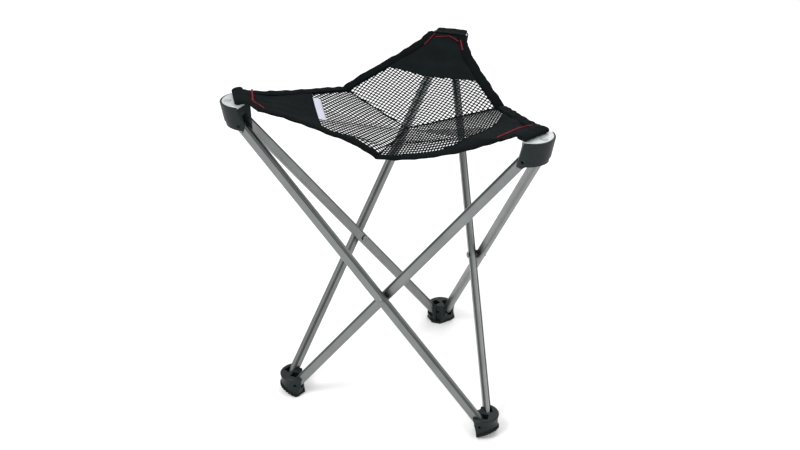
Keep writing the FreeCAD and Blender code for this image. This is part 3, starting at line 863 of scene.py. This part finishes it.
def zigzag(corner, path):
    """A zigzag of thread along (along, across, height) points of a corner's plan frame."""
    run = run_along(path[:, :2])
    places = np.arange(0, run[-1], STITCH_PITCH / 2)
    line = np.stack([np.interp(places, run, path[:, part]) for part in range(3)], axis=1)
    ahead = unit(np.gradient(line[:, :2], axis=0))
    swing = STITCH_HALF_WIDTH * np.where(np.arange(len(places)) % 2, 1, -1)
    along = line[:, 0] - ahead[:, 1] * swing
    across = line[:, 1] + ahead[:, 0] * swing
    return tube(placed(corner, along, across, line[:, 2]), STITCH_RADIUS, STITCH_SIDES)


def stitched(name, corner, lines, top):
    """One piece of red thread along lines of plan points; top gives the cloth's height."""
    parts = []
    for line in lines:
        ends = np.array(line, float)
        shares = np.linspace(0, len(ends) - 1, STITCH_POINTS_PER_END * len(ends))
        along = np.interp(shares, range(len(ends)), ends[:, 0])
        across = np.interp(shares, range(len(ends)), ends[:, 1])
        height = top(along, across) + STITCH_RADIUS
        parts.append(zigzag(corner, np.stack([along, across, height], axis=1)))
    return mesh_piece(name, *joined(parts), red_thread)


def make_stitching(corner):
    """The red thread that holds the strip at the corner's head."""
    name = CORNERS[corner]

    def panel_top(along, across):
        return surface(corner, along, across) + PANEL_STITCH_LIFT

    def tail_top(along, across):
        outward = (along - TAIL_START) / (TAIL_END - TAIL_START)
        return tail_height(corner, outward) + TAIL_STITCH_LIFT

    lines = PANEL_STITCHES[corner]
    thread = stitched(f"red_stitching_{name}", corner, lines, panel_top)
    threads = [on_seat(thread, corner)]
    lines = TAIL_STITCHES[corner]
    if lines:
        thread = stitched(f"red_stitching_across_{name}", corner, lines, tail_top)
        threads.append(on_head(thread, corner))
        crumples(thread)
    return threads


def make_label():
    """A plain sewn label over the net, along the left panel's inner edge."""
    down, sideways = cloth_grid(LABEL_GRID, (-0.5, 0.5), (-0.5, 0.5))
    across = LABEL_PLACE[1] + down * LABEL_SIZE[1]
    along = LABEL_PLACE[0] + sideways * LABEL_SIZE[0] + NET_TILT[LABEL_CORNER] * across
    bulge = LABEL_BULGE * np.cos(math.pi * sideways)
    ripple = LABEL_RIPPLE * np.sin(LABEL_RIPPLE_TURN * down)
    height = surface(LABEL_CORNER, along, across) + LABEL_LIFT + (bulge + ripple)
    points = placed(LABEL_CORNER, along, across, height).reshape(-1, 3)
    faces = grid_faces(*LABEL_GRID)
    piece = mesh_piece("plain_label", points, faces, label_cloth, LABEL_THICKNESS)
    return on_seat(piece, LABEL_CORNER)


# ---- The whole seat ----

for corner, name in enumerate(CORNERS):
    net, net_area = make_net(corner)
    seam = make_seam(corner)
    panel, panel_area = make_panel(corner)
    hem = make_hem(corner)
    bindings = [make_binding(corner, turn) for turn in (1, -1)]
    loop = make_loop(corner)
    tail = make_tail(corner)
    threads = make_stitching(corner)
    labels = [make_label()] if corner == LABEL_CORNER else []

    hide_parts(f"seat_net_{name}")
    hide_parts(f"seat_corner_{name}")
    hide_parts(f"seat_binding_{name}")
    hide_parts(f"seat_loop_{name}")


# ---- Floor, light and camera ----

FLOOR_REACH = 6.0
WORLD_COLOUR = (1.0, 1.0, 1.0, 1.0)
WORLD_STRENGTH = 0.92
LIGHT_AIM = Vector((0.0, 0.0, 0.25))
# Each light's name, its place and size in metres, and its power in watts.
SOFTBOXES = (
    ("key", (-0.9, -1.5, 2.2), 1.0, 34.0),
    ("fill", (1.8, -0.9, 1.3), 1.4, 9.0),
    ("rim", (0.3, 2.0, 1.8), 1.4, 12.0),
)

floor_signs = ((-1, -1), (1, -1), (1, 1), (-1, 1))
floor_corners = [(x * FLOOR_REACH, y * FLOOR_REACH, 0.0) for x, y in floor_signs]
floor = mesh_piece("floor", floor_corners, [(0, 1, 2, 3)], floor_paint)

world = bpy.data.worlds.new("studio")
bpy.context.scene.world = world
world.use_nodes = True
background = world.node_tree.nodes["Background"]
background.inputs["Color"].default_value = WORLD_COLOUR
background.inputs["Strength"].default_value = WORLD_STRENGTH


def softbox(name, place, size, power):
    """A square area light aimed at the middle of the stool."""
    light = bpy.data.lights.new(name, "AREA")
    light.size = size
    light.energy = power
    lamp = bpy.data.objects.new(name, light)
    bpy.context.scene.collection.objects.link(lamp)
    lamp.location = place
    aim = LIGHT_AIM - Vector(place)
    lamp.rotation_mode = "QUATERNION"
    lamp.rotation_quaternion = aim.to_track_quat("-Z", "Y")


for name, place, size, power in SOFTBOXES:
    softbox(name, place, size, power)

target = Vector((axis.x, axis.y, (VIEW_TARGET_HEIGHT + FOOT_HINGE_HEIGHT) * MM))
backward = Vector((
    math.sin(VIEW_AZIMUTH) * math.cos(VIEW_ELEVATION),
    -math.cos(VIEW_AZIMUTH) * math.cos(VIEW_ELEVATION),
    math.sin(VIEW_ELEVATION),
))
camera_data = bpy.data.cameras.new("view")
camera_data.lens = VIEW_LENS
camera_data.sensor_width = VIEW_SENSOR_WIDTH
camera_data.shift_x, camera_data.shift_y = VIEW_SHIFT
camera = bpy.data.objects.new("view", camera_data)
bpy.context.scene.collection.objects.link(camera)
camera.location = target + backward * VIEW_DISTANCE * MM
camera.rotation_mode = "QUATERNION"
roll = Quaternion((0.0, 0.0, 1.0), VIEW_ROLL)
camera.rotation_quaternion = (-backward).to_track_quat("-Z", "Y") @ roll
bpy.context.scene.camera = camera
bpy.context.scene.view_settings.view_transform = "Standard"
